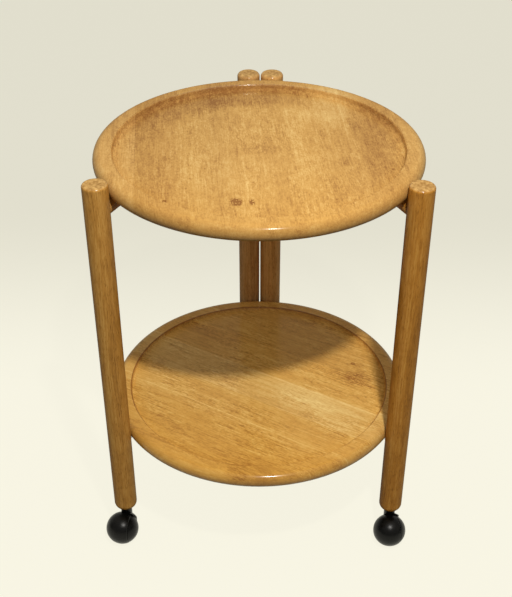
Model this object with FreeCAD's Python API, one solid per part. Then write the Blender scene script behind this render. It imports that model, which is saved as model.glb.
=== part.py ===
import FreeCAD, Part
import math
import os

Vector = FreeCAD.Vector
UP = Vector(0, 0, 1)
SIDEWAYS = Vector(1, 0, 0)
QUARTER_TURN = 90

# Folding serving trolley with two loose round trays, in millimetres.
# The origin is on the floor at the centre of the footprint, +Z up and the open front towards -Y.

# Trays
tray_diameter = 420.0
tray_thickness = 22.0
rim_width = 23.0
upper_dish_depth = 8.0
upper_dish_cove = 4.0
upper_dish_lip = 1.5
upper_dish_slope = 78.0
lower_dish_depth = 5.0
lower_dish_cove = 2.0
lower_dish_lip = 1.0
lower_dish_slope = 75.0
upper_tray_top = 573.0
lower_tray_top = 194.5

# Legs
leg_diameter = 32.0
front_leg_above_tray = 6.0
rear_leg_above_tray = 1.0
leg_foot = 54.0
front_leg_top_rounding = 3.5
rear_leg_top_rounding = 5.0
leg_to_tray_gap = 0.5
rear_leg_gap = 1.6
front_leg_angle = 32.0

# Rails: dowels with tenons under the upper tray, plain steel rods under the lower one
upper_rail_diameter = 21.0
lower_rail_diameter = 8.0
tenon_diameter = 14.0
tenon_length = 20.0
tray_seat_gap = 0.3
glue_gap = 0.05

# Hinge links round the two rear legs
link_height = 22.0
link_below_rail = 6.0
link_groove_depth = 1.5
link_proud = 1.0
link_running_gap = 0.05
link_end_gap = 0.2
link_edge_rounding = 0.8

# Ball casters
ball_diameter = 47.0
caster_trail = 17.0
caster_side_offset = 3.0
left_front_caster_turn = -9.0
right_front_caster_turn = 10.0
rear_caster_turn = 0.0
seam_from_centre = 12.0
seam_gap = 0.6
seam_edge_rounding = 0.8
hood_inset = 0.3
hood_cover = 2.2
hood_arm_radius = 6.5
hood_arm_side = 11.0
hood_arm_back = 16.0
neck_diameter = 16.0
neck_gap = 0.4
wheel_pocket_diameter = 35.0
wheel_pocket_floor = 10.0
wheel_hub_diameter = 14.0
axle_diameter = 6.0
axle_in_wheel = 13.5
axle_in_hood = 7.5
axle_end_gap = 0.5
axle_running_gap = 0.05
stem_diameter = 8.0
stem_floor = 1.5
stem_end_gap = 1.0
stem_point = 2.5
stem_tip_rounding = 2.0
stem_groove_depth = 0.6
stem_groove_width = 2.5
stem_groove_below_tip = 5.0
stem_running_gap = 0.05
socket_diameter = 11.0
socket_length = 37.0
socket_end_wall = 1.2
socket_flange_diameter = 12.8
socket_flange = 1.0
socket_flange_margin = 0.1

# Cuts run past the faces that they open by this much
overrun = 5.0

# Points nearer than this are one point
point_tolerance = 0.001

tray_radius = tray_diameter / 2
leg_radius = leg_diameter / 2
upper_rail_radius = upper_rail_diameter / 2
lower_rail_radius = lower_rail_diameter / 2
tenon_radius = tenon_diameter / 2
ball_radius = ball_diameter / 2
front_leg_top = upper_tray_top + front_leg_above_tray
rear_leg_top = upper_tray_top + rear_leg_above_tray
leg_foot_rounding = leg_radius - socket_flange_diameter / 2 - socket_flange_margin

# The legs stand on one circle just outside the trays
leg_circle = tray_radius + leg_to_tray_gap + leg_radius
rear_leg_x = (leg_diameter + rear_leg_gap) / 2
rear_leg_behind = math.sqrt(leg_circle ** 2 - rear_leg_x ** 2)
front_leg_x = leg_circle * math.cos(math.radians(front_leg_angle))
front_leg_ahead = leg_circle * math.sin(math.radians(front_leg_angle))

# The footprint runs from the front of the trays to the back of the rear legs
tray_y = (tray_radius - rear_leg_behind - leg_radius) / 2
rear_leg_y = tray_y + rear_leg_behind
front_leg_y = tray_y - front_leg_ahead

upper_rail_z = upper_tray_top - tray_thickness - tray_seat_gap - upper_rail_radius
lower_rail_z = lower_tray_top - tray_thickness - tray_seat_gap - lower_rail_radius
upper_link_bottom = upper_rail_z - upper_rail_radius - link_below_rail - link_height
lower_link_bottom = lower_rail_z - lower_rail_radius - link_below_rail - link_height
groove_radius = leg_radius - link_groove_depth


def face_of_edges(edges):
    """Flat face inside a closed chain of edges."""
    return Part.Face(Part.Wire(Part.__sortEdges__(edges)))


def line(start, end):
    """Straight edge between two points."""
    return Part.LineSegment(start, end).toShape()


def arc(start, middle, end):
    """Round edge through three points."""
    return Part.Arc(start, middle, end).toShape()


def on_arc(centre, radius, degrees):
    """Point of the XZ plane on a circle about centre, at an angle from +X towards +Z."""
    a = math.radians(degrees)
    return centre + Vector(radius * math.cos(a), 0, radius * math.sin(a))


def arc_between(centre, radius, first, last):
    """Arc of the XZ plane about centre between two angles in degrees."""
    middle = (first + last) / 2
    ends = [on_arc(centre, radius, degrees) for degrees in (first, middle, last)]
    return arc(*ends)


def joined_profile(parts):
    """Edges through a chain of arcs and points in the XZ plane, closed along straight lines."""
    edges = []
    previous = None
    first = None
    for part in parts:
        if isinstance(part, Vector):
            start = end = part
        else:
            start, end = part.Vertexes[0].Point, part.Vertexes[-1].Point
            edges.append(part)
        if previous is not None and not previous.isEqual(start, point_tolerance):
            edges.append(line(previous, start))
        if first is None:
            first = start
        previous = end
    edges.append(line(previous, first))
    return edges


def turned(parts):
    """Solid of revolution about the Z axis from a chain of arcs and points."""
    return face_of_edges(joined_profile(parts)).revolve(Vector(0, 0, 0), UP, 360)


def make_tray(top_z, depth, cove, lip, slope):
    """Round dished tray: bullnose rim, flat floor, and a sloping wall between a rounded lip and a cove."""
    rim_round = tray_thickness / 2
    rim_centre = Vector(tray_radius - rim_round, 0, -rim_round)
    dish_radius = tray_radius - rim_width
    turn = math.radians(slope)
    straight = depth - (cove + lip) * (1 - math.cos(turn))
    wall = straight / math.tan(turn) + (cove + lip) * math.sin(turn)
    lip_centre = Vector(dish_radius, 0, -lip)
    cove_centre = Vector(dish_radius - wall, 0, cove - depth)
    profile = [
        Vector(0, 0, -tray_thickness),
        arc_between(rim_centre, rim_round, -QUARTER_TURN, QUARTER_TURN),
        arc_between(lip_centre, lip, QUARTER_TURN, QUARTER_TURN + slope),
        arc_between(cove_centre, cove, slope - QUARTER_TURN, -QUARTER_TURN),
        Vector(0, 0, -depth),
    ]
    tray = turned(profile)
    tray.translate(Vector(0, tray_y, top_z))
    return tray


def rail_direction(side):
    """Unit vector from a front leg to the rear leg of the same side frame."""
    front = Vector(side * front_leg_x, front_leg_y, 0)
    rear = Vector(side * rear_leg_x, rear_leg_y, 0)
    return (rear - front).normalize()


def make_leg(x, y, inward, top, top_rounding, grooves, socketed):
    """Leg dowel with blind bores for its rails, hinge grooves and a caster bore where it has them."""
    foot_centre = Vector(leg_radius - leg_foot_rounding, 0, leg_foot + leg_foot_rounding)
    top_centre = Vector(leg_radius - top_rounding, 0, top - top_rounding)
    profile = [Vector(0, 0, leg_foot), arc_between(foot_centre, leg_foot_rounding, -QUARTER_TURN, 0)]
    for bottom in grooves:
        low = bottom - link_end_gap
        high = bottom + link_height + link_end_gap
        for radius, z in ((leg_radius, low), (groove_radius, low), (groove_radius, high), (leg_radius, high)):
            profile.append(Vector(radius, 0, z))
    profile += [arc_between(top_centre, top_rounding, 0, QUARTER_TURN), Vector(0, 0, top)]
    leg = turned(profile)
    leg.translate(Vector(x, y, 0))
    bore_floor = leg_radius - tenon_length - glue_gap
    for radius, z in ((lower_rail_radius, lower_rail_z), (tenon_radius, upper_rail_z)):
        start = Vector(x, y, z) + inward * bore_floor
        bore = Part.makeCylinder(radius + glue_gap, tenon_length + overrun, start, inward)
        leg = leg.cut(bore)
    if socketed:
        start = Vector(x, y, leg_foot - overrun)
        depth = overrun + socket_length + glue_gap
        leg = leg.cut(Part.makeCylinder(socket_diameter / 2 + glue_gap, depth, start, UP))
    return leg


def make_upper_rail(side):
    """Rail dowel with coped shoulders against both legs and a round tenon at each end."""
    along = rail_direction(side)
    front = Vector(side * front_leg_x, front_leg_y, upper_rail_z)
    rear = Vector(side * rear_leg_x, rear_leg_y, upper_rail_z)
    rail = Part.makeCylinder(upper_rail_radius, front.distanceToPoint(rear), front, along)
    leg_room = upper_rail_diameter + 2 * overrun
    for end in (front, rear):
        below = Vector(end.x, end.y, upper_rail_z - upper_rail_radius - overrun)
        rail = rail.cut(Part.makeCylinder(leg_radius + glue_gap, leg_room, below, UP))
    for end, inward in ((front, along), (rear, along * -1)):
        start = end + inward * (leg_radius - tenon_length)
        rail = rail.fuse(Part.makeCylinder(tenon_radius, tenon_length + overrun, start, inward))
    return rail.removeSplitter()


def make_lower_rail(side):
    """Slim steel rod let into both legs as deep as the tenons."""
    along = rail_direction(side)
    front = Vector(side * front_leg_x, front_leg_y, lower_rail_z)
    rear = Vector(side * rear_leg_x, rear_leg_y, lower_rail_z)
    end_depth = leg_radius - tenon_length
    length = front.distanceToPoint(rear) - 2 * end_depth
    return Part.makeCylinder(lower_rail_radius, length, front + along * end_depth, along)


def make_hinge_link(bottom):
    """Link with two round eyes, one turning on each rear leg."""
    eye = leg_radius + link_proud
    base = Vector(0, rear_leg_y, bottom)
    body = Part.makeBox(2 * rear_leg_x, 2 * eye, link_height, base - Vector(rear_leg_x, eye, 0))
    for x in (-rear_leg_x, rear_leg_x):
        body = body.fuse(Part.makeCylinder(eye, link_height, base + Vector(x, 0, 0), UP))
    body = body.removeSplitter()
    body = body.makeFillet(link_edge_rounding, level_edges(body, (bottom, bottom + link_height)))
    for x in (-rear_leg_x, rear_leg_x):
        below = base + Vector(x, 0, -overrun)
        hole = Part.makeCylinder(groove_radius + link_running_gap, link_height + 2 * overrun, below, UP)
        body = body.cut(hole)
    return body


def level_edges(shape, levels):
    """Edges that lie flat at one of the given heights."""
    found = []
    for edge in shape.Edges:
        box = edge.BoundBox
        for z in levels:
            if max(abs(box.ZMin - z), abs(box.ZMax - z)) < point_tolerance:
                found.append(edge)
    return found


def ball_centre(x, y):
    """Centre of the ball of the caster whose stem stands at x, y."""
    return Vector(x - caster_side_offset, y - caster_trail, ball_radius)


def about_axle(parts, centre):
    """Solid turned about the ball's axle: profile X is the radius, profile Z runs along the axle."""
    solid = turned(parts)
    solid.rotate(Vector(0, 0, 0), Vector(0, 1, 0), QUARTER_TURN)
    solid.translate(centre)
    return solid


def ball_arc(radius, first_z, last_z):
    """Arc of a ball of the given radius between two heights, as seen in its turned profile."""
    middle = (first_z + last_z) / 2
    heights = (first_z, middle, last_z)
    return arc(*[Vector(math.sqrt(radius ** 2 - z ** 2), 0, z) for z in heights])


def make_wheel(x, y):
    """Larger part of the ball: the rolling wheel, hollow behind its seam, with a hub and blind bore."""
    hub = wheel_hub_diameter / 2
    pocket = wheel_pocket_diameter / 2
    bore = axle_diameter / 2 + axle_running_gap
    bore_floor = -axle_in_wheel - axle_end_gap
    seam_radius = math.sqrt(ball_radius ** 2 - seam_from_centre ** 2)
    edge_z = seam_from_centre - seam_edge_rounding
    profile = [
        Vector(0, 0, -ball_radius),
        ball_arc(ball_radius, -ball_radius, edge_z),
        Vector(seam_radius - seam_edge_rounding, 0, seam_from_centre),
        Vector(pocket, 0, seam_from_centre),
        Vector(pocket, 0, -wheel_pocket_floor),
        Vector(hub, 0, -wheel_pocket_floor),
        Vector(hub, 0, seam_from_centre),
        Vector(bore, 0, seam_from_centre),
        Vector(bore, 0, bore_floor),
        Vector(0, 0, bore_floor),
    ]
    return about_axle(profile, ball_centre(x, y))


def make_hood(x, y):
    """Smaller part of the ball with the arm over the wheel and the neck that holds the stem."""
    centre = ball_centre(x, y)
    inner = seam_from_centre + seam_gap
    shell = ball_radius - hood_inset
    axle_hole = axle_diameter / 2 + glue_gap
    hole_floor = inner + axle_in_hood + axle_end_gap
    cap_profile = [
        Vector(axle_hole, 0, inner),
        ball_arc(shell, inner, shell),
        Vector(0, 0, hole_floor),
        Vector(axle_hole, 0, hole_floor),
    ]
    cap = about_axle(cap_profile, centre)
    stem_base = Vector(x, y, ball_radius)
    arm_end = Vector(centre.x + hood_arm_side, centre.y + hood_arm_back, ball_radius)
    reach = ball_radius + hood_cover
    neck_radius = neck_diameter / 2
    arm = capsule(stem_base, neck_radius, arm_end, hood_arm_radius, reach)
    arm = arm.common(Part.makeSphere(reach, centre))
    neck_top = leg_foot - socket_flange - neck_gap
    arm = arm.fuse(Part.makeCylinder(neck_radius, neck_top - ball_radius, stem_base, UP))
    wheel_room = Part.makeSphere(ball_radius + seam_gap, centre)
    left = Vector(centre.x + inner - 2 * reach, centre.y - reach, ball_radius - reach)
    wheel_side = Part.makeBox(2 * reach, 2 * reach, 2 * reach, left)
    arm = arm.cut(wheel_room.common(wheel_side))
    inside_cap = Part.makeSphere(shell - hood_inset, centre)
    arm = arm.cut(inside_cap)
    hood = cap.fuse(arm)
    hole = turned(stem_foot(stem_diameter / 2 + glue_gap) + [Vector(0, 0, leg_foot)])
    hole.translate(Vector(x, y, 0))
    return hood.cut(hole).removeSplitter()


def capsule(first, first_radius, second, second_radius, height):
    """Upright prism round two circles and the straight band between them."""
    across = (second - first).cross(UP).normalize()
    corners = [
        first + across * first_radius,
        second + across * second_radius,
        second - across * second_radius,
        first - across * first_radius,
    ]
    band = Part.Face(Part.makePolygon(corners + corners[:1])).extrude(UP * height)
    band = band.fuse(Part.makeCylinder(first_radius, height, first, UP))
    return band.fuse(Part.makeCylinder(second_radius, height, second, UP))


def stem_bottom():
    """Height of the stem's lower end, just above the room that the wheel turns in."""
    room = ball_radius + seam_gap
    nearest = math.hypot(caster_side_offset, caster_trail) - stem_diameter / 2 + stem_point
    return ball_radius + math.sqrt(room ** 2 - nearest ** 2) + stem_floor


def stem_foot(radius):
    """Profile of the bevelled lower end of the stem, up to where its full radius starts."""
    low = stem_bottom()
    return [
        Vector(0, 0, low),
        Vector(radius - stem_point, 0, low),
        Vector(radius, 0, low + stem_point),
        Vector(radius, 0, leg_foot),
    ]


def make_stem(x, y):
    """Steel stem with a rounded tip and a retaining groove."""
    radius = stem_diameter / 2
    tip_z = leg_foot + socket_length - socket_end_wall - stem_end_gap
    groove_top = tip_z - stem_groove_below_tip
    groove = radius - stem_groove_depth
    tip_centre = Vector(radius - stem_tip_rounding, 0, tip_z - stem_tip_rounding)
    profile = stem_foot(radius) + [
        Vector(radius, 0, groove_top - stem_groove_width),
        Vector(groove, 0, groove_top - stem_groove_width),
        Vector(groove, 0, groove_top),
        Vector(radius, 0, groove_top),
        arc_between(tip_centre, stem_tip_rounding, 0, QUARTER_TURN),
        Vector(0, 0, tip_z),
    ]
    stem = turned(profile)
    stem.translate(Vector(x, y, 0))
    return stem


def make_axle(x, y):
    """Steel pin on which the ball wheel rolls, held in the hood."""
    centre = ball_centre(x, y)
    start = centre - SIDEWAYS * axle_in_wheel
    length = axle_in_wheel + seam_from_centre + seam_gap + axle_in_hood
    return Part.makeCylinder(axle_diameter / 2, length, start, SIDEWAYS)


def make_socket(x, y):
    """Sleeve pressed into the foot of a leg, with a flange under it and a closed top."""
    sleeve = socket_diameter / 2
    flange = socket_flange_diameter / 2
    bore = stem_diameter / 2 + stem_running_gap
    top = leg_foot + socket_length
    profile = [
        Vector(bore, 0, leg_foot - socket_flange),
        Vector(flange, 0, leg_foot - socket_flange),
        Vector(flange, 0, leg_foot),
        Vector(sleeve, 0, leg_foot),
        Vector(sleeve, 0, top),
        Vector(0, 0, top),
        Vector(0, 0, top - socket_end_wall),
        Vector(bore, 0, top - socket_end_wall),
    ]
    socket = turned(profile)
    socket.translate(Vector(x, y, 0))
    return socket


def side_frame(name, side):
    """The two legs and two rails of one side frame."""
    along = rail_direction(side)
    grooves = [lower_link_bottom, upper_link_bottom]
    rear_socket = side < 0
    front_top = (front_leg_top, front_leg_top_rounding)
    rear_top = (rear_leg_top, rear_leg_top_rounding)
    front = make_leg(side * front_leg_x, front_leg_y, along, *front_top, [], True)
    rear = make_leg(side * rear_leg_x, rear_leg_y, along * -1, *rear_top, grooves, rear_socket)
    return {
        name + "_front_leg": front,
        name + "_rear_leg": rear,
        name + "_upper_rail": make_upper_rail(side),
        name + "_lower_rail": make_lower_rail(side),
    }


def caster(name, x, y, turn):
    """The pieces of one ball caster under the leg at x, y, swivelled about its stem by turn degrees."""
    pieces = {
        name + "_caster_socket": make_socket(x, y),
        name + "_caster_stem": make_stem(x, y),
        name + "_caster_hood": make_hood(x, y),
        name + "_caster_axle": make_axle(x, y),
        name + "_caster_wheel": make_wheel(x, y),
    }
    for piece in pieces.values():
        piece.rotate(Vector(x, y, 0), UP, turn)
    return pieces


def build():
    """Every sub-part by its node name."""
    upper_dish = (upper_dish_depth, upper_dish_cove, upper_dish_lip, upper_dish_slope)
    lower_dish = (lower_dish_depth, lower_dish_cove, lower_dish_lip, lower_dish_slope)
    nodes = {
        "upper_tray": make_tray(upper_tray_top, *upper_dish),
        "lower_tray": make_tray(lower_tray_top, *lower_dish),
        "upper_hinge_link": make_hinge_link(upper_link_bottom),
        "lower_hinge_link": make_hinge_link(lower_link_bottom),
    }
    nodes.update(side_frame("left", -1))
    nodes.update(side_frame("right", 1))
    nodes.update(caster("left_front", -front_leg_x, front_leg_y, left_front_caster_turn))
    nodes.update(caster("right_front", front_leg_x, front_leg_y, right_front_caster_turn))
    nodes.update(caster("rear", -rear_leg_x, rear_leg_y, rear_caster_turn))
    return nodes


os.makedirs("parts", exist_ok=True)
for node, shape in build().items():
    shape.exportStep("parts/" + node + ".step")
    size = shape.BoundBox
    facts = (node, len(shape.Solids), shape.isValid(), size.ZMin, size.ZMax)
    print("%-26s solids %d valid %s z %.2f to %.2f" % facts)
print("tray axis y %.3f" % tray_y)
print("front legs x %.3f y %.3f" % (front_leg_x, front_leg_y))
print("rear legs x %.3f y %.3f" % (rear_leg_x, rear_leg_y))
print("rails z %.3f and %.3f" % (upper_rail_z, lower_rail_z))
print("links z %.3f and %.3f" % (upper_link_bottom, lower_link_bottom))
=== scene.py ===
"""Looks of a folding serving trolley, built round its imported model."""

import math

import bpy
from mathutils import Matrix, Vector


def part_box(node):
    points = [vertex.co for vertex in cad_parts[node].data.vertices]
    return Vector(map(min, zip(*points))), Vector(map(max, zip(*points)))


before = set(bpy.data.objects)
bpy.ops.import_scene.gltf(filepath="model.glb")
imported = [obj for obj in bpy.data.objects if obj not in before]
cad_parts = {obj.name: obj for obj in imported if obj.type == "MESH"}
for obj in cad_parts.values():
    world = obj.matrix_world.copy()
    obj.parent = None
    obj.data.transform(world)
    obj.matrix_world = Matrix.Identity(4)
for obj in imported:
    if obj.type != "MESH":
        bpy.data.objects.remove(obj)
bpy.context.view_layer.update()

scene = bpy.context.scene
scene.view_settings.view_transform = "Standard"

MM = 0.001
CENTRE = 0.5  # middle of a noise's range, and of a colour ramp


def middle(node):
    """Centre of a node's box."""
    low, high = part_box(node)
    return [(a + b) / 2 for a, b in zip(low, high)]


def width(node):
    """Size of a node's box from left to right."""
    low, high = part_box(node)
    return high[0] - low[0]


LEG_RADIUS = width("left_front_leg") / 2
TRAY_RADIUS = width("upper_tray") / 2
RIM_WIDTH = 23 * MM
LIP_RADIUS = TRAY_RADIUS - RIM_WIDTH  # where the rim ends and the dish begins


# Node helpers

def new_material(name):
    """A material with an empty node tree."""
    material = bpy.data.materials.new(name)
    material.use_nodes = True
    tree = material.node_tree
    tree.nodes.clear()
    return material, tree


def add(tree, kind, values=None, **settings):
    """Add a node; values go to its inputs, as numbers or as links from other sockets."""
    node = tree.nodes.new(kind)
    for key, value in settings.items():
        setattr(node, key, value)
    for key, value in (values or {}).items():
        if isinstance(value, bpy.types.NodeSocket):
            tree.links.new(value, node.inputs[key])
        else:
            node.inputs[key].default_value = value
    return node


def calc(tree, operation, a, b=0.0, c=0.0, clamp=False):
    """Result of one Math node."""
    values = {0: a, 1: b, 2: c}
    return add(tree, "ShaderNodeMath", values, operation=operation, use_clamp=clamp).outputs[0]


def total(tree, first, *others):
    """Sum of several sockets or numbers."""
    for other in others:
        first = calc(tree, "ADD", first, other)
    return first


def product(tree, first, *others):
    """Product of several sockets or numbers."""
    for other in others:
        first = calc(tree, "MULTIPLY", first, other)
    return first


def gap(tree, value, place):
    """How far a value is from a place, to either side."""
    return calc(tree, "ABSOLUTE", calc(tree, "SUBTRACT", value, place))


def hypotenuse(tree, a, b):
    squares = [calc(tree, "MULTIPLY", side, side) for side in (a, b)]
    return calc(tree, "SQRT", total(tree, *squares))


def smooth_range(tree, value, low, high, start=0.0, end=1.0):
    """Smooth change from start to end while the value goes from low to high."""
    values = {0: value, 1: low, 2: high, 3: start, 4: end}
    return add(tree, "ShaderNodeMapRange", values, interpolation_type="SMOOTHSTEP").outputs[0]


def vector_math(tree, operation, a, b):
    return add(tree, "ShaderNodeVectorMath", {0: a, 1: b}, operation=operation).outputs


def dot(tree, vector, direction):
    return vector_math(tree, "DOT_PRODUCT", vector, direction)["Value"]


def combined(tree, x, y, z):
    return add(tree, "ShaderNodeCombineXYZ", {0: x, 1: y, 2: z}).outputs[0]


def separated(tree, vector):
    return add(tree, "ShaderNodeSeparateXYZ", {0: vector}).outputs


def object_place(tree):
    return add(tree, "ShaderNodeTexCoord").outputs["Object"]


def place_from(tree, centre):
    """Place on the object, measured from a centre."""
    return vector_math(tree, "SUBTRACT", object_place(tree), centre)[0]


def facing(tree):
    """Direction in which the surface faces."""
    return add(tree, "ShaderNodeTexCoord").outputs["Normal"]


def noise(tree, vector, detail=2.0, rough=0.5, size=1.0):
    values = {"Vector": vector, "Scale": 1 / size, "Detail": detail, "Roughness": rough}
    return add(tree, "ShaderNodeTexNoise", values).outputs[0]


def centred(tree, vector, weight, detail=2.0, rough=0.5):
    """Noise about zero, with the given weight."""
    value = noise(tree, vector, detail, rough)
    return calc(tree, "MULTIPLY", calc(tree, "SUBTRACT", value, CENTRE), weight)


def linear(r, g, b):
    """Linear colour with alpha from 0-255 display values, by the sRGB curve."""
    def one(v):
        v /= 255.0
        return v / 12.92 if v <= 0.04045 else ((v + 0.055) / 1.055) ** 2.4
    return one(r), one(g), one(b), 1.0


def mix_colour(tree, factor, a, b, blend="MIX"):
    values = {0: factor, 6: a, 7: b}
    return add(tree, "ShaderNodeMix", values, data_type="RGBA", blend_type=blend).outputs[2]


def tinted(tree, colour, tint, factor=1.0):
    """Colour multiplied by a tint."""
    return mix_colour(tree, factor, colour, tint, "MULTIPLY")


def ramp(tree, factor, stops):
    """Colour ramp; each stop is a place and a colour."""
    node = add(tree, "ShaderNodeValToRGB", {0: factor})
    elements = node.color_ramp.elements
    while len(elements) < len(stops):
        elements.new(1.0)
    for element, (place, colour) in zip(elements, stops):
        element.position = place
        element.color = colour
    return node.outputs[0]


def toned(tree, terms, tones):
    """Wood colour: the terms, each about zero, choose among a dark, a middle and a light tone."""
    dark, mid, light = tones
    return ramp(tree, total(tree, *terms, CENTRE), [(0.0, dark), (CENTRE, mid), (1.0, light)])


def finish_material(tree, colour, roughness, height, bump, level=0.5, metallic=0.0,
                    coat=0.0, coat_roughness=0.2):
    """Principled surface; heights from 0 to 1 make a bump of the given size in metres."""
    relief = {"Strength": 1.0, "Distance": bump, "Height": height}
    shader = add(tree, "ShaderNodeBsdfPrincipled", {
        "Base Color": colour, "Roughness": roughness, "Metallic": metallic,
        "Specular IOR Level": level, "Coat Weight": coat, "Coat Roughness": coat_roughness,
        "Normal": add(tree, "ShaderNodeBump", relief).outputs[0],
    })
    add(tree, "ShaderNodeOutputMaterial", {0: shader.outputs[0]})


# Wood: what the trays and the dowels share

WOOD_BUMP = 0.08 * MM
WOOD_LEVEL = 0.0  # only the coat shines
NOISE_SPAN = (0.3, 0.7)  # most of a noise's values lie here
DASH_EDGE = 0.14  # how far above its start a dash is at full weight


def dashes(tree, vector, weight, start):
    """Short dark dashes where a noise is above the start value."""
    dash = noise(tree, vector, detail=1.0)
    return smooth_range(tree, dash, start, start + DASH_EDGE, 0.0, weight)


# Wood of the trays: glued staves, grain that runs one way, streaks, flecks and a few dark marks.
# Sizes and places of figure are in millimetres, across and along the grain from the centre.
# A weight above zero makes the wood lighter, one below zero darker.

DRIFT_SIZE = (60, 170)
DRIFT = 9 * MM  # how far the grain wanders sideways
SPECK_SIZE = (1.8, 4.5)  # of the noise that breaks up a mark
SPECK_SPAN = (0.38, 0.52)
VIGOUR_SIZE = (30, 80)
VIGOUR_SPAN = (0.35, 0.65)
RIM_VIGOUR = 0.8

# Radii over which something changes, and the height over which the upper side begins
RIM_FACE_RADII = (TRAY_RADIUS - 15 * MM, TRAY_RADIUS - 9 * MM)
RIM_TOP_RADII = (LIP_RADIUS, LIP_RADIUS + 5 * MM)
UPPER_SIDE = (-4 * MM, 1 * MM)

# Distances from the board's centre towards the back, over which something changes
DISH_RING_BACK = (-20 * MM, 150 * MM)
WALL_BACK = (20 * MM, 150 * MM)
POLISH_BACK = (120 * MM, 170 * MM)
FOOT_LINE_BACK = (-170 * MM, -20 * MM)
NEAR_FRONT = (-20 * MM, -200 * MM)

# The dish's darker ring, partly painted shade and partly dirt. It is a broad band of painted
# shade, darkest towards the back where the lamp's light falls off, plus a narrow band of painted
# shade and dirt at the foot of the wall. The two add up. These values also set how the ring ends
# on the rim and in front.
BROAD_SHADE = 0.70
BROAD_SHADE_RADII = (TRAY_RADIUS - 90 * MM, TRAY_RADIUS - 60 * MM)
NARROW_SHADE_AND_DIRT = 0.30
NARROW_SHADE_AND_DIRT_RADII = (LIP_RADIUS - 16 * MM, LIP_RADIUS - 7 * MM)
DISH_RING_END_RADII = (LIP_RADIUS - 2 * MM, LIP_RADIUS + 1 * MM)
DISH_RING_ON_RIM = 0.3
DISH_RING_IN_FRONT = 0.12
DISH_RING_PATCH_SIZE = (26, 34)
DISH_RING_PATCHES = (0.85, 1.05)

# A thin line of painted shade in the corner of the dish's step
FOOT_LINE_RADIUS = LIP_RADIUS - 0.3 * MM
FOOT_LINE_WIDTH = (0.2 * MM, 1.2 * MM)
FOOT_LINE_IN_FRONT = 0.15

# Painted shade and light on the steep faces, as grey levels: darker on the rim's face and the
# dish's back wall, lighter on its side walls; and the tint of the wood nearest to the front
RIM_FACE_SHADE = 0.79
SIDE_WALL_LIGHT = 1.10
BACK_WALL_SHADE = 0.92
NEAR_TINT = (1.01, 0.98, 0.90, 1.0)

END_GRAIN = linear(150, 96, 40)
END_GRAIN_MIX = 0.5
END_GRAIN_SHARE = (0.06, 0.38)  # inside the rim's face, and on it

# The coat wears off from the fade to the end, and comes back up to the lip
VARNISH_FADE = LIP_RADIUS - 26 * MM
VARNISH_END = LIP_RADIUS - 2.4 * MM
POLISHED_EDGE = LIP_RADIUS - 0.2 * MM
POLISHED_WIDTH = (1.2 * MM, 2.2 * MM)
TRAY_COAT_ROUGHNESS = 0.17
TRAY_ROUGHNESS = (0.44, 0.56)


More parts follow.
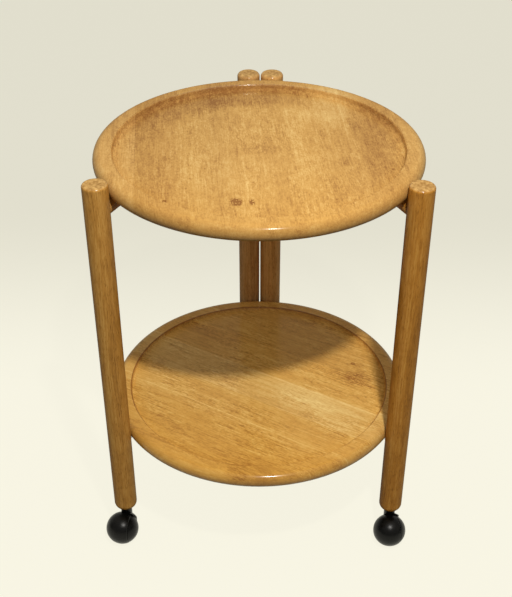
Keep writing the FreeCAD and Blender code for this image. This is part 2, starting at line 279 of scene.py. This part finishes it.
class Grain:
    """Places on a board, in metres from its centre, and the figure drawn on it."""

    def __init__(self, tree, centre, degrees):
        angle = math.radians(degrees)
        self.tree = tree
        self.direction = (math.cos(angle), math.sin(angle), 0.0)
        place = place_from(tree, centre)
        self.across = dot(tree, place, (-math.sin(angle), math.cos(angle), 0.0))
        self.along = dot(tree, place, self.direction)
        _, self.back, self.up = separated(tree, place)
        self.from_axis = hypotenuse(tree, self.across, self.along)
        self.upper_side = smooth_range(tree, self.up, *UPPER_SIDE)
        drift = centred(tree, self.at(*DRIFT_SIZE), DRIFT, detail=1.0)
        self.bent = calc(tree, "ADD", self.across, drift)
        specks = noise(tree, self.at(*SPECK_SIZE, shift=31.0))
        self.broken = smooth_range(tree, specks, *SPECK_SPAN)

    def at(self, across_size, along_size, bent=False, shift=0.0):
        """Texture place whose features are about so large across and along the grain."""
        tree = self.tree
        side = self.bent if bent else self.across
        across_scale = 1 / (across_size * MM)
        return combined(tree, calc(tree, "MULTIPLY_ADD", side, across_scale, shift),
                        calc(tree, "MULTIPLY", self.along, 1 / (along_size * MM)),
                        calc(tree, "MULTIPLY", self.up, across_scale))

    def layer(self, across_size, along_size, weight, detail=2.0, rough=0.5, shift=0.0):
        """Noise about zero that follows the bent grain."""
        place = self.at(across_size, along_size, bent=True, shift=shift)
        return centred(self.tree, place, weight, detail, rough)

    def line(self, place, half_width, weight, bent=False):
        """A straight line along the grain, or one that bends with it."""
        far = gap(self.tree, self.bent if bent else self.across, place * MM)
        return smooth_range(self.tree, far, 0.0, half_width * MM, weight, 0.0)

    def patch(self, across, along, half_width, half_length, weight):
        """A soft oval, lighter or darker than the wood round it."""
        tree = self.tree
        x = calc(tree, "SUBTRACT", self.across, across * MM)
        y = calc(tree, "SUBTRACT", self.along, along * MM)
        x = calc(tree, "MULTIPLY", x, 1 / (half_width * MM))
        y = calc(tree, "MULTIPLY", y, 1 / (half_length * MM))
        return smooth_range(tree, hypotenuse(tree, x, y), 0.0, 1.0, weight, 0.0)

    def mark(self, *spot):
        """A patch on the upper side alone, broken up by fine noise."""
        return product(self.tree, self.patch(*spot), self.broken, self.upper_side)

    def vigour(self, spread):
        """How strongly the fine figure shows: uneven over the board, fainter on the rim."""
        tree = self.tree
        uneven = noise(tree, self.at(*VIGOUR_SIZE, shift=21.0))
        uneven = smooth_range(tree, uneven, *VIGOUR_SPAN, 1.0 - spread, 1.0 + spread)
        rim = smooth_range(tree, self.from_axis, *RIM_TOP_RADII, 1.0, RIM_VIGOUR)
        return product(tree, uneven, rim)

    def shade_and_dirt_ring(self, weight):
        """Darker ring in the outer dish, most at the back: painted shade of the lamp's falloff
        and of the wall's foot, and dirt at that foot.
        """
        tree = self.tree
        broad = smooth_range(tree, self.from_axis, *BROAD_SHADE_RADII, 0.0, BROAD_SHADE)
        narrow = smooth_range(tree, self.from_axis, *NARROW_SHADE_AND_DIRT_RADII, 0.0, NARROW_SHADE_AND_DIRT)
        ends = smooth_range(tree, self.from_axis, *DISH_RING_END_RADII, 1.0, DISH_RING_ON_RIM)
        behind = smooth_range(tree, self.back, *DISH_RING_BACK, DISH_RING_IN_FRONT, 1.0)
        patchy = noise(tree, self.at(*DISH_RING_PATCH_SIZE), detail=3.0)
        patchy = smooth_range(tree, patchy, *NOISE_SPAN, *DISH_RING_PATCHES)
        inside = total(tree, broad, narrow)
        return product(tree, inside, ends, behind, patchy, self.upper_side, weight)

    def foot_shade_line(self, weight):
        """Painted shade: a thin dark line round the dish just inside the lip, in the step's
        corner, fainter in front.
        """
        tree = self.tree
        line = gap(tree, self.from_axis, FOOT_LINE_RADIUS)
        line = smooth_range(tree, line, *FOOT_LINE_WIDTH, weight, 0.0)
        behind = smooth_range(tree, self.back, *FOOT_LINE_BACK, FOOT_LINE_IN_FRONT, 1.0)
        return product(tree, line, self.upper_side, behind)

    def steep_face_shading(self, rise):
        """Painted shade and light: grey levels that darken the rim's face and the dish's back
        wall and lighten its side walls.
        """
        tree = self.tree
        wall = smooth_range(tree, self.back, *WALL_BACK, SIDE_WALL_LIGHT, BACK_WALL_SHADE)
        outer = smooth_range(tree, self.from_axis, *RIM_FACE_RADII)
        shade = calc(tree, "MULTIPLY_ADD", outer, calc(tree, "SUBTRACT", RIM_FACE_SHADE, wall), wall)
        flat = calc(tree, "MULTIPLY", rise, rise)
        steep = calc(tree, "SQRT", calc(tree, "SUBTRACT", 1.0, flat, clamp=True))
        return calc(tree, "MULTIPLY_ADD", steep, calc(tree, "SUBTRACT", shade, 1.0), 1.0)

    def varnish(self, full):
        """Coat: worn off towards the dish's wall, full on the rim, polished on the back lip."""
        tree = self.tree
        worn = smooth_range(tree, self.from_axis, VARNISH_FADE, VARNISH_END)
        worn = product(tree, worn, self.upper_side)
        rim = smooth_range(tree, self.from_axis, VARNISH_END, LIP_RADIUS, 0.0, full)
        coat = total(tree, calc(tree, "MULTIPLY_ADD", worn, -full, full), rim)
        edge = gap(tree, self.from_axis, POLISHED_EDGE)
        edge = smooth_range(tree, edge, *POLISHED_WIDTH, 1.0, 0.0)
        edge = product(tree, edge, smooth_range(tree, self.back, *POLISH_BACK))
        return calc(tree, "MAXIMUM", calc(tree, "MINIMUM", coat, full), edge)


def stave_tint(grain, tints):
    """Tint by the place across the grain."""
    tree = grain.tree
    half = CENTRE / TRAY_RADIUS
    share = calc(tree, "MULTIPLY_ADD", grain.across, half, CENTRE)
    return ramp(tree, share, [(CENTRE + place * MM * half, (r, g, b, 1.0))
                              for place, r, g, b in tints])


def tray_wood(name, node, degrees, tones, tints, lines, streaks, marks, patches,
              foot_shade_line, ring, figure, mottle, spread, coat):
    """Varnished wood of a tray, with a coat.

    Figure and mottle scale its long and its short features, and spread says how unevenly they
    show. The foot line and the ring are the weights of the painted shade, and of the dirt, round
    the dish.
    """
    material, tree = new_material(name)
    grain = Grain(tree, middle(node), degrees)
    flecks = dashes(tree, grain.at(1.5, 5.0), -0.15 * mottle, start=0.57)
    pores = dashes(tree, grain.at(0.8, 7, shift=7.0), -0.15 * figure, start=0.58)
    fine = grain.layer(1.1, 24, 0.46 * figure, detail=3.0)
    height = total(tree, fine, flecks, pores)
    detail = total(
        tree, height,
        grain.layer(1.8, 100, 0.30 * figure, shift=17.0),
        grain.layer(3, 34, 0.40 * figure, shift=11.0),
        grain.layer(5.5, 13, 0.40 * mottle, shift=13.0),
        grain.layer(2.2, 4.4, 0.66 * mottle, detail=3.0, rough=0.55, shift=9.0),
    )
    terms = [
        grain.layer(34, 420, 0.28, detail=1.0),
        grain.layer(8, 130, 0.28 * figure, detail=3.0, shift=3.0),
        grain.layer(15, 20, 0.20, shift=5.0),
        product(tree, detail, grain.vigour(spread)),
    ]
    terms += [grain.line(*line) for line in lines]
    terms += [grain.line(*streak, bent=True) for streak in streaks]
    terms += [grain.mark(*mark) for mark in marks]
    terms += [grain.patch(*patch) for patch in patches]
    # painted shade and dirt in the dish's ring, and a line of painted shade at its step
    terms += [grain.shade_and_dirt_ring(ring), grain.foot_shade_line(foot_shade_line)]

    colour = tinted(tree, toned(tree, terms, tones), stave_tint(grain, tints))
    nearer = smooth_range(tree, grain.back, *NEAR_FRONT)
    colour = tinted(tree, colour, NEAR_TINT, nearer)
    normal = facing(tree)
    end = calc(tree, "ABSOLUTE", dot(tree, normal, grain.direction))
    share = smooth_range(tree, grain.from_axis, *RIM_FACE_RADII, *END_GRAIN_SHARE)
    end = product(tree, calc(tree, "POWER", end, 2.0), share)
    colour = mix_colour(tree, end, colour, mix_colour(tree, END_GRAIN_MIX, colour, END_GRAIN))
    # painted shade and light, set by how steep the surface is and which way it faces
    colour = tinted(tree, colour, grain.steep_face_shading(separated(tree, normal)[2]))

    sheen = noise(tree, grain.at(5, 16, shift=2.0))
    roughness = smooth_range(tree, sheen, *NOISE_SPAN, *TRAY_ROUGHNESS)
    finish_material(tree, colour, roughness, height, WOOD_BUMP, WOOD_LEVEL,
                    coat=grain.varnish(coat), coat_roughness=TRAY_COAT_ROUGHNESS)
    return material


# Turned dowels: growth rings round a pith beside the axis, cut into long vertical figures

RING_WIDTH = 2.6 * MM
RING_WEIGHT = 0.035
RING_WOBBLE = 3.2
SWAY = 16 * MM  # how far the rings wander to the side
LACQUER = 0.14
HANDLED = 0.6  # coat on the rounded edge of a leg's top, polished by hands
EDGE_RISE = 0.72  # upward part of the direction in which that edge faces
EDGE_SPREAD = (0.10, 0.24)
TOP_RISE = (0.45, 0.95)
TOP_SHARE = 0.75
END_DARK = linear(140, 100, 54)
END_LIGHT = linear(232, 192, 124)
DOWEL_COAT_ROUGHNESS = 0.18
DOWEL_ROUGHNESS = (0.42, 0.54)


def dowel_wood(name, node, pith, tones, turn=None):
    """Lacquered wood of a standing leg, or of a rail that the turn lays down."""
    material, tree = new_material(name)
    place = place_from(tree, middle(node))
    if turn is not None:
        values = {0: place, "Rotation": turn}
        place = add(tree, "ShaderNodeVectorRotate", values, rotation_type="EULER_XYZ",
                    invert=True).outputs[0]
    x, y, z = separated(tree, place)

    def stretched(size, length, shift=0.0):
        """Texture place whose features are so many millimetres wide and long."""
        return combined(tree, calc(tree, "MULTIPLY_ADD", x, 1 / (size * MM), shift),
                        calc(tree, "MULTIPLY", y, 1 / (size * MM)),
                        calc(tree, "MULTIPLY", z, 1 / (length * MM)))

    sway = centred(tree, stretched(40, 160), SWAY, detail=1.0)
    dx = total(tree, calc(tree, "SUBTRACT", x, pith[0]), sway)
    dy = calc(tree, "SUBTRACT", y, pith[1])
    wobble = product(tree, noise(tree, stretched(6, 90, 4.0)), RING_WOBBLE)
    phase = calc(tree, "MULTIPLY_ADD", hypotenuse(tree, dx, dy), 2 * math.pi / RING_WIDTH, wobble)
    fine = centred(tree, stretched(1.1, 18, 1.0), 0.50, detail=3.0)
    pores = dashes(tree, stretched(0.8, 7, 8.0), -0.26, start=0.57)
    colour = toned(tree, [
        product(tree, calc(tree, "SINE", phase), RING_WEIGHT), fine, pores,
        centred(tree, stretched(14, 300, 9.0), 0.50, detail=1.0),
        centred(tree, stretched(3.2, 60, 6.0), 0.34),
        centred(tree, stretched(7, 24, 3.0), 0.40),
    ], tones)
    polish = LACQUER
    if turn is None:
        rise = separated(tree, facing(tree))[2]
        polish = smooth_range(tree, gap(tree, rise, EDGE_RISE), *EDGE_SPREAD, HANDLED, LACQUER)
        top = smooth_range(tree, rise, *TOP_RISE)
        end_rings = centred(tree, stretched(4.0, 60, 2.0), 1.8)
        end_grain = ramp(tree, calc(tree, "ADD", end_rings, CENTRE),
                         [(0.0, END_DARK), (1.0, END_LIGHT)])
        colour = mix_colour(tree, product(tree, top, TOP_SHARE), colour, end_grain)
    sheen = noise(tree, stretched(4, 18, 5.0))
    roughness = smooth_range(tree, sheen, *NOISE_SPAN, *DOWEL_ROUGHNESS)
    finish_material(tree, colour, roughness, total(tree, fine, pores), WOOD_BUMP, WOOD_LEVEL,
                    coat=polish, coat_roughness=DOWEL_COAT_ROUGHNESS)
    return material


# Casters, links and metal

DUST = linear(96, 90, 80)
DUST_SPAN = (0.45, 0.75)
DUST_SHARE = 0.04
PLASTIC_LEVEL = 0.22
PLASTIC_BUMP = 0.03 * MM
METAL_BUMP = 0.02 * MM
DULL_METAL = linear(120, 120, 118)
DULL_SHARE = 0.25


def moulded_plastic(name, colour, roughness):
    """Satin moulded plastic with a fine texture and a little dust in it."""
    material, tree = new_material(name)
    place = object_place(tree)
    grain = noise(tree, place, size=0.5 * MM)
    cloud = noise(tree, place, detail=3.0, size=14 * MM)
    dust = smooth_range(tree, cloud, *DUST_SPAN, 0.0, DUST_SHARE)
    shade = mix_colour(tree, dust, colour, DUST)
    worn = smooth_range(tree, cloud, *NOISE_SPAN, roughness - 0.04, roughness + 0.06)
    finish_material(tree, shade, worn, grain, PLASTIC_BUMP, PLASTIC_LEVEL)
    return material


def metal(name, colour, roughness, stretch=(1.0, 1.0, 1.0)):
    """Bright metal with a fine grain, drawn out along an axis whose stretch is below one."""
    material, tree = new_material(name)
    place = vector_math(tree, "MULTIPLY", object_place(tree), stretch)[0]
    lines = noise(tree, place, detail=3.0, size=0.4 * MM)
    shade = mix_colour(tree, lines, colour, mix_colour(tree, DULL_SHARE, colour, DULL_METAL))
    worn = smooth_range(tree, lines, *NOISE_SPAN, roughness - 0.06, roughness + 0.08)
    finish_material(tree, shade, worn, lines, METAL_BUMP, metallic=1.0)
    return material


# The materials, and which node has which

# A dark, a middle and a light tone each. The rear legs stand in the trays' shade and take
# lighter, bluer tones: painted fill light.
UPPER_TONES = [linear(152, 104, 56), linear(209, 162, 92), linear(240, 205, 136)]
LOWER_TONES = [linear(160, 108, 50), linear(218, 168, 85), linear(248, 213, 131)]
LEFT_TONES = [linear(108, 70, 24), linear(182, 131, 60), linear(222, 178, 100)]
RIGHT_TONES = [linear(104, 63, 18), linear(176, 120, 47), linear(216, 166, 84)]
LEFT_REAR_FILL_TONES = [linear(116, 76, 36), linear(190, 143, 84), linear(226, 184, 122)]
RIGHT_REAR_FILL_TONES = [linear(124, 82, 37), linear(203, 152, 86), linear(236, 193, 125)]

# A tint is a place across the grain and a red, green and blue factor. A line or streak is a
# place across the grain, a half width and a weight. A mark or patch is a place across and along
# the grain, a half width, a half length and a weight.
upper_wood = tray_wood(
    "upper_tray_wood", "upper_tray", degrees=-85.0, tones=UPPER_TONES,
    tints=[
        (-210, 1.01, 1.03, 1.10), (-188, 0.98, 1.00, 1.05), (-157.4, 0.99, 1.01, 1.06),
        (-156.8, 0.88, 0.86, 0.82), (-118, 0.90, 0.88, 0.86), (-90, 0.97, 0.98, 0.97),
        (-55, 0.95, 0.96, 0.97), (-20, 1.01, 1.02, 1.02), (60, 1.01, 1.01, 0.98),
        (125, 0.94, 0.93, 0.92), (150, 0.90, 0.87, 0.84), (200, 1.02, 1.05, 1.09),
    ],
    lines=[(-157, 0.7, -0.12)],
    streaks=[
        (-100, 2.0, 0.07), (-93, 1.0, -0.06), (-55, 1.2, -0.10), (45, 2.5, 0.05),
        (118, 1.2, 0.12), (126, 1.0, -0.08), (-176, 1.0, 0.06), (-184, 1.2, -0.05),
    ],
    marks=[
        (-37, 134, 9, 13, -1.8), (-19, 136, 5, 10, -1.1), (-121, 126, 3.5, 4.5, -1.9),
        (160, 67, 4, 6, -0.4), (100, 45, 16, 14, -0.25), (0, 0, 40, 26, -0.22),
    ],
    patches=[
        (0, 60, 120, 90, 0.06), (-130, 30, 40, 110, -0.06), (140, 20, 50, 100, -0.12),
        (105, -125, 80, 90, 0.46),
    ],
    foot_shade_line=-0.06, ring=-0.42, figure=0.85, mottle=0.95, spread=0.2, coat=0.22)

lower_wood = tray_wood(
    "lower_tray_wood", "lower_tray", degrees=-30.6, tones=LOWER_TONES,
    tints=[
        (-210, 0.96, 0.93, 0.86), (-99.2, 0.97, 0.93, 0.86), (-98.2, 1.0, 0.98, 0.98),
        (-39.2, 1.01, 1.0, 1.02), (-38.2, 1.06, 1.12, 1.36), (8, 1.05, 1.10, 1.30),
        (21.2, 1.14, 1.22, 1.50), (21.8, 1.05, 1.03, 1.02), (82.0, 1.08, 1.04, 0.98),
        (83.0, 0.99, 0.95, 0.92), (210, 0.96, 0.92, 0.90),
    ],
    lines=[
        (-41, 1.0, 0.20), (-38, 0.8, 0.12), (20, 2.6, 0.14), (82.5, 1.2, 0.16),
        (-98.6, 0.7, -0.06),
    ],
    streaks=[(-86, 1.8, 0.22), (-64, 1.2, -0.12), (-118, 1.2, -0.14), (-135, 1.4, 0.12)],
    marks=[(78, 117, 26, 38, -0.40), (110, 99, 4, 8, -0.9), (-30, 100, 12, 30, -0.22)],
    patches=[
        (2, 95, 45, 150, 0.28), (-172, 102, 45, 100, -0.18), (55, -130, 45, 130, -0.16),
        (-60, -120, 60, 80, 0.05), (-150, 10, 50, 120, -0.06),
    ],
    foot_shade_line=-0.62, ring=-0.06, figure=1.15, mottle=0.85, spread=0.4, coat=0.50)

black = moulded_plastic("caster_black", linear(7, 7, 6), 0.30)
nylon = moulded_plastic("link_nylon", linear(26, 25, 23), 0.50)
steel = metal("steel", linear(196, 195, 192), 0.28, stretch=(1.0, 1.0, 0.06))
zinc = metal("zinc", linear(178, 178, 172), 0.40)

# Where each dowel's pith lies, beside its axis
PITHS = {
    "left_front_leg": (26 * MM, 10 * MM),
    "right_front_leg": (-22 * MM, 16 * MM),
    "left_rear_leg": (12 * MM, 24 * MM),
    "right_rear_leg": (-14 * MM, 28 * MM),
    "left_upper_rail": (10 * MM, 22 * MM),
    "right_upper_rail": (-12 * MM, 20 * MM),
}


def rail_turn(node):
    """Rotation that lays the dowel's length along the rail."""
    low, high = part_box(node)
    side = -1.0 if middle(node)[0] < 0 else 1.0
    run = math.atan2(high[1] - low[1] - LEG_RADIUS, -side * (high[0] - low[0] - LEG_RADIUS))
    return (math.pi / 2, 0.0, run + math.pi / 2)


def node_material(name):
    """The material of a node, by its name."""
    if name == "upper_tray":
        return upper_wood
    if name == "lower_tray":
        return lower_wood
    if name in PITHS:
        turn = rail_turn(name) if "rail" in name else None
        front, rear = LEFT_TONES, LEFT_REAR_FILL_TONES
        if "right" in name:
            front, rear = RIGHT_TONES, RIGHT_REAR_FILL_TONES
        # the rear legs take the lighter, bluer tones of painted fill light
        tones = rear if "rear" in name else front
        return dowel_wood(name + "_wood", name, PITHS[name], tones, turn)
    if "link" in name:
        return nylon
    if "hood" in name or "wheel" in name:
        return black
    return zinc if "socket" in name else steel


for name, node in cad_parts.items():
    node.data.materials.clear()
    node.data.materials.append(node_material(name))


# Floor, light and camera

FLOOR_HALF = 12.0
FLOOR_DROP = 0.2 * MM
FLOOR_BACK = (0.16, 0.86)  # distances behind the origin over which the floor dims
NEAR_FLOOR = linear(249, 246, 229)
FAR_FLOOR = linear(228, 225, 208)
FLOOR_GLOW = 0.95
FLOOR_BOUNCE = (0.10, 0.093, 0.08, 1.0)  # how the floor lights the object

STUDIO_COLOUR = (1.0, 0.96, 0.88, 1.0)
STUDIO_BRIGHTEST = (0.0, -0.34, 0.94)
STUDIO_SPAN = (-0.2, 1.0)
STUDIO_STRENGTH = (0.07, 0.50)
BACKDROP = 0.45  # its strength in reflections
BACKDROP_HEIGHT = (0.35, 0.72)
BACKDROP_BACK = (0.0, 0.5)

LAMP_PLACE = (0.205, -1.005, 1.864)
LAMP_POWER = 98.0
LAMP_RADIUS = 0.044
LAMP_COLOUR = (1.0, 0.97, 0.91)

CAMERA_PLACE = (0.00805, -1.25964, 1.17855)
CAMERA_DOWN = 36.291  # degrees below level
CAMERA_LEFT = 0.55  # degrees to the left of straight ahead
SENSOR_HEIGHT = 24.0
PICTURE_HEIGHT = 597.0
FOCAL_PIXELS = 1078.05
CENTRE_ROW_SHIFT = 41.5


def floor_material():
    """Pale paper: bright to the eye and in reflections, dim as a light, faintly shadowed."""
    material, tree = new_material("floor")
    back = smooth_range(tree, separated(tree, object_place(tree))[1], *FLOOR_BACK)
    colour = mix_colour(tree, back, NEAR_FLOOR, FAR_FLOOR)
    glow = add(tree, "ShaderNodeEmission", {0: colour, 1: 1.0}).outputs[0]
    matt = add(tree, "ShaderNodeBsdfDiffuse", {0: colour}).outputs[0]
    seen = add(tree, "ShaderNodeMixShader", {0: FLOOR_GLOW, 1: matt, 2: glow}).outputs[0]
    dim = add(tree, "ShaderNodeBsdfDiffuse", {0: FLOOR_BOUNCE}).outputs[0]
    path = add(tree, "ShaderNodeLightPath").outputs
    direct = calc(tree, "MAXIMUM", path["Is Camera Ray"], path["Is Glossy Ray"])
    direct = calc(tree, "MAXIMUM", direct, path["Is Transmission Ray"])
    whole = add(tree, "ShaderNodeMixShader", {0: direct, 1: dim, 2: seen}).outputs[0]
    add(tree, "ShaderNodeOutputMaterial", {0: whole})
    return material


def build_floor():
    mesh = bpy.data.meshes.new("floor")
    corners = [(x * FLOOR_HALF, y * FLOOR_HALF, 0.0)
               for x, y in ((-1, -1), (1, -1), (1, 1), (-1, 1))]
    mesh.from_pydata(corners, [], [(0, 1, 2, 3)])
    mesh.materials.append(floor_material())
    floor = bpy.data.objects.new("floor", mesh)
    floor.location.z = -FLOOR_DROP
    scene.collection.objects.link(floor)


def build_world():
    """Soft studio, brightest above and in front; to the eye it is pale paper like the far floor.

    Glossy surfaces also reflect a backdrop that stands low behind the object.
    """
    world = bpy.data.worlds.new("studio")
    scene.world = world
    world.use_nodes = True
    tree = world.node_tree
    tree.nodes.clear()
    direction = add(tree, "ShaderNodeTexCoord").outputs["Generated"]
    ahead = dot(tree, direction, STUDIO_BRIGHTEST)
    strength = smooth_range(tree, ahead, *STUDIO_SPAN, *STUDIO_STRENGTH)
    _, y, z = separated(tree, direction)
    low = smooth_range(tree, z, *BACKDROP_HEIGHT, BACKDROP, 0.0)
    backdrop = product(tree, low, smooth_range(tree, y, *BACKDROP_BACK))
    path = add(tree, "ShaderNodeLightPath").outputs
    strength = calc(tree, "MULTIPLY_ADD", backdrop, path["Is Glossy Ray"], strength)
    studio = add(tree, "ShaderNodeBackground", {0: STUDIO_COLOUR, 1: strength}).outputs[0]
    paper = add(tree, "ShaderNodeBackground", {0: FAR_FLOOR, 1: 1.0}).outputs[0]
    direct = calc(tree, "MAXIMUM", path["Is Camera Ray"], path["Is Transmission Ray"])
    whole = add(tree, "ShaderNodeMixShader", {0: direct, 1: studio, 2: paper}).outputs[0]
    add(tree, "ShaderNodeOutputWorld", {0: whole})


def build_lamp():
    data = bpy.data.lights.new("lamp", "POINT")
    data.energy = LAMP_POWER
    data.shadow_soft_size = LAMP_RADIUS
    data.color = LAMP_COLOUR
    lamp = bpy.data.objects.new("lamp", data)
    lamp.location = LAMP_PLACE
    scene.collection.objects.link(lamp)


def build_camera():
    """The photograph's camera, found from the outlines of the trays and legs."""
    data = bpy.data.cameras.new("camera")
    data.sensor_fit = "VERTICAL"
    data.sensor_height = SENSOR_HEIGHT
    data.lens = FOCAL_PIXELS / PICTURE_HEIGHT * SENSOR_HEIGHT
    data.shift_y = CENTRE_ROW_SHIFT / PICTURE_HEIGHT
    camera = bpy.data.objects.new("camera", data)
    camera.location = CAMERA_PLACE
    camera.rotation_euler = (math.radians(90 - CAMERA_DOWN), 0.0, math.radians(CAMERA_LEFT))
    scene.collection.objects.link(camera)
    scene.camera = camera


build_floor()
build_world()
build_lamp()
build_camera()
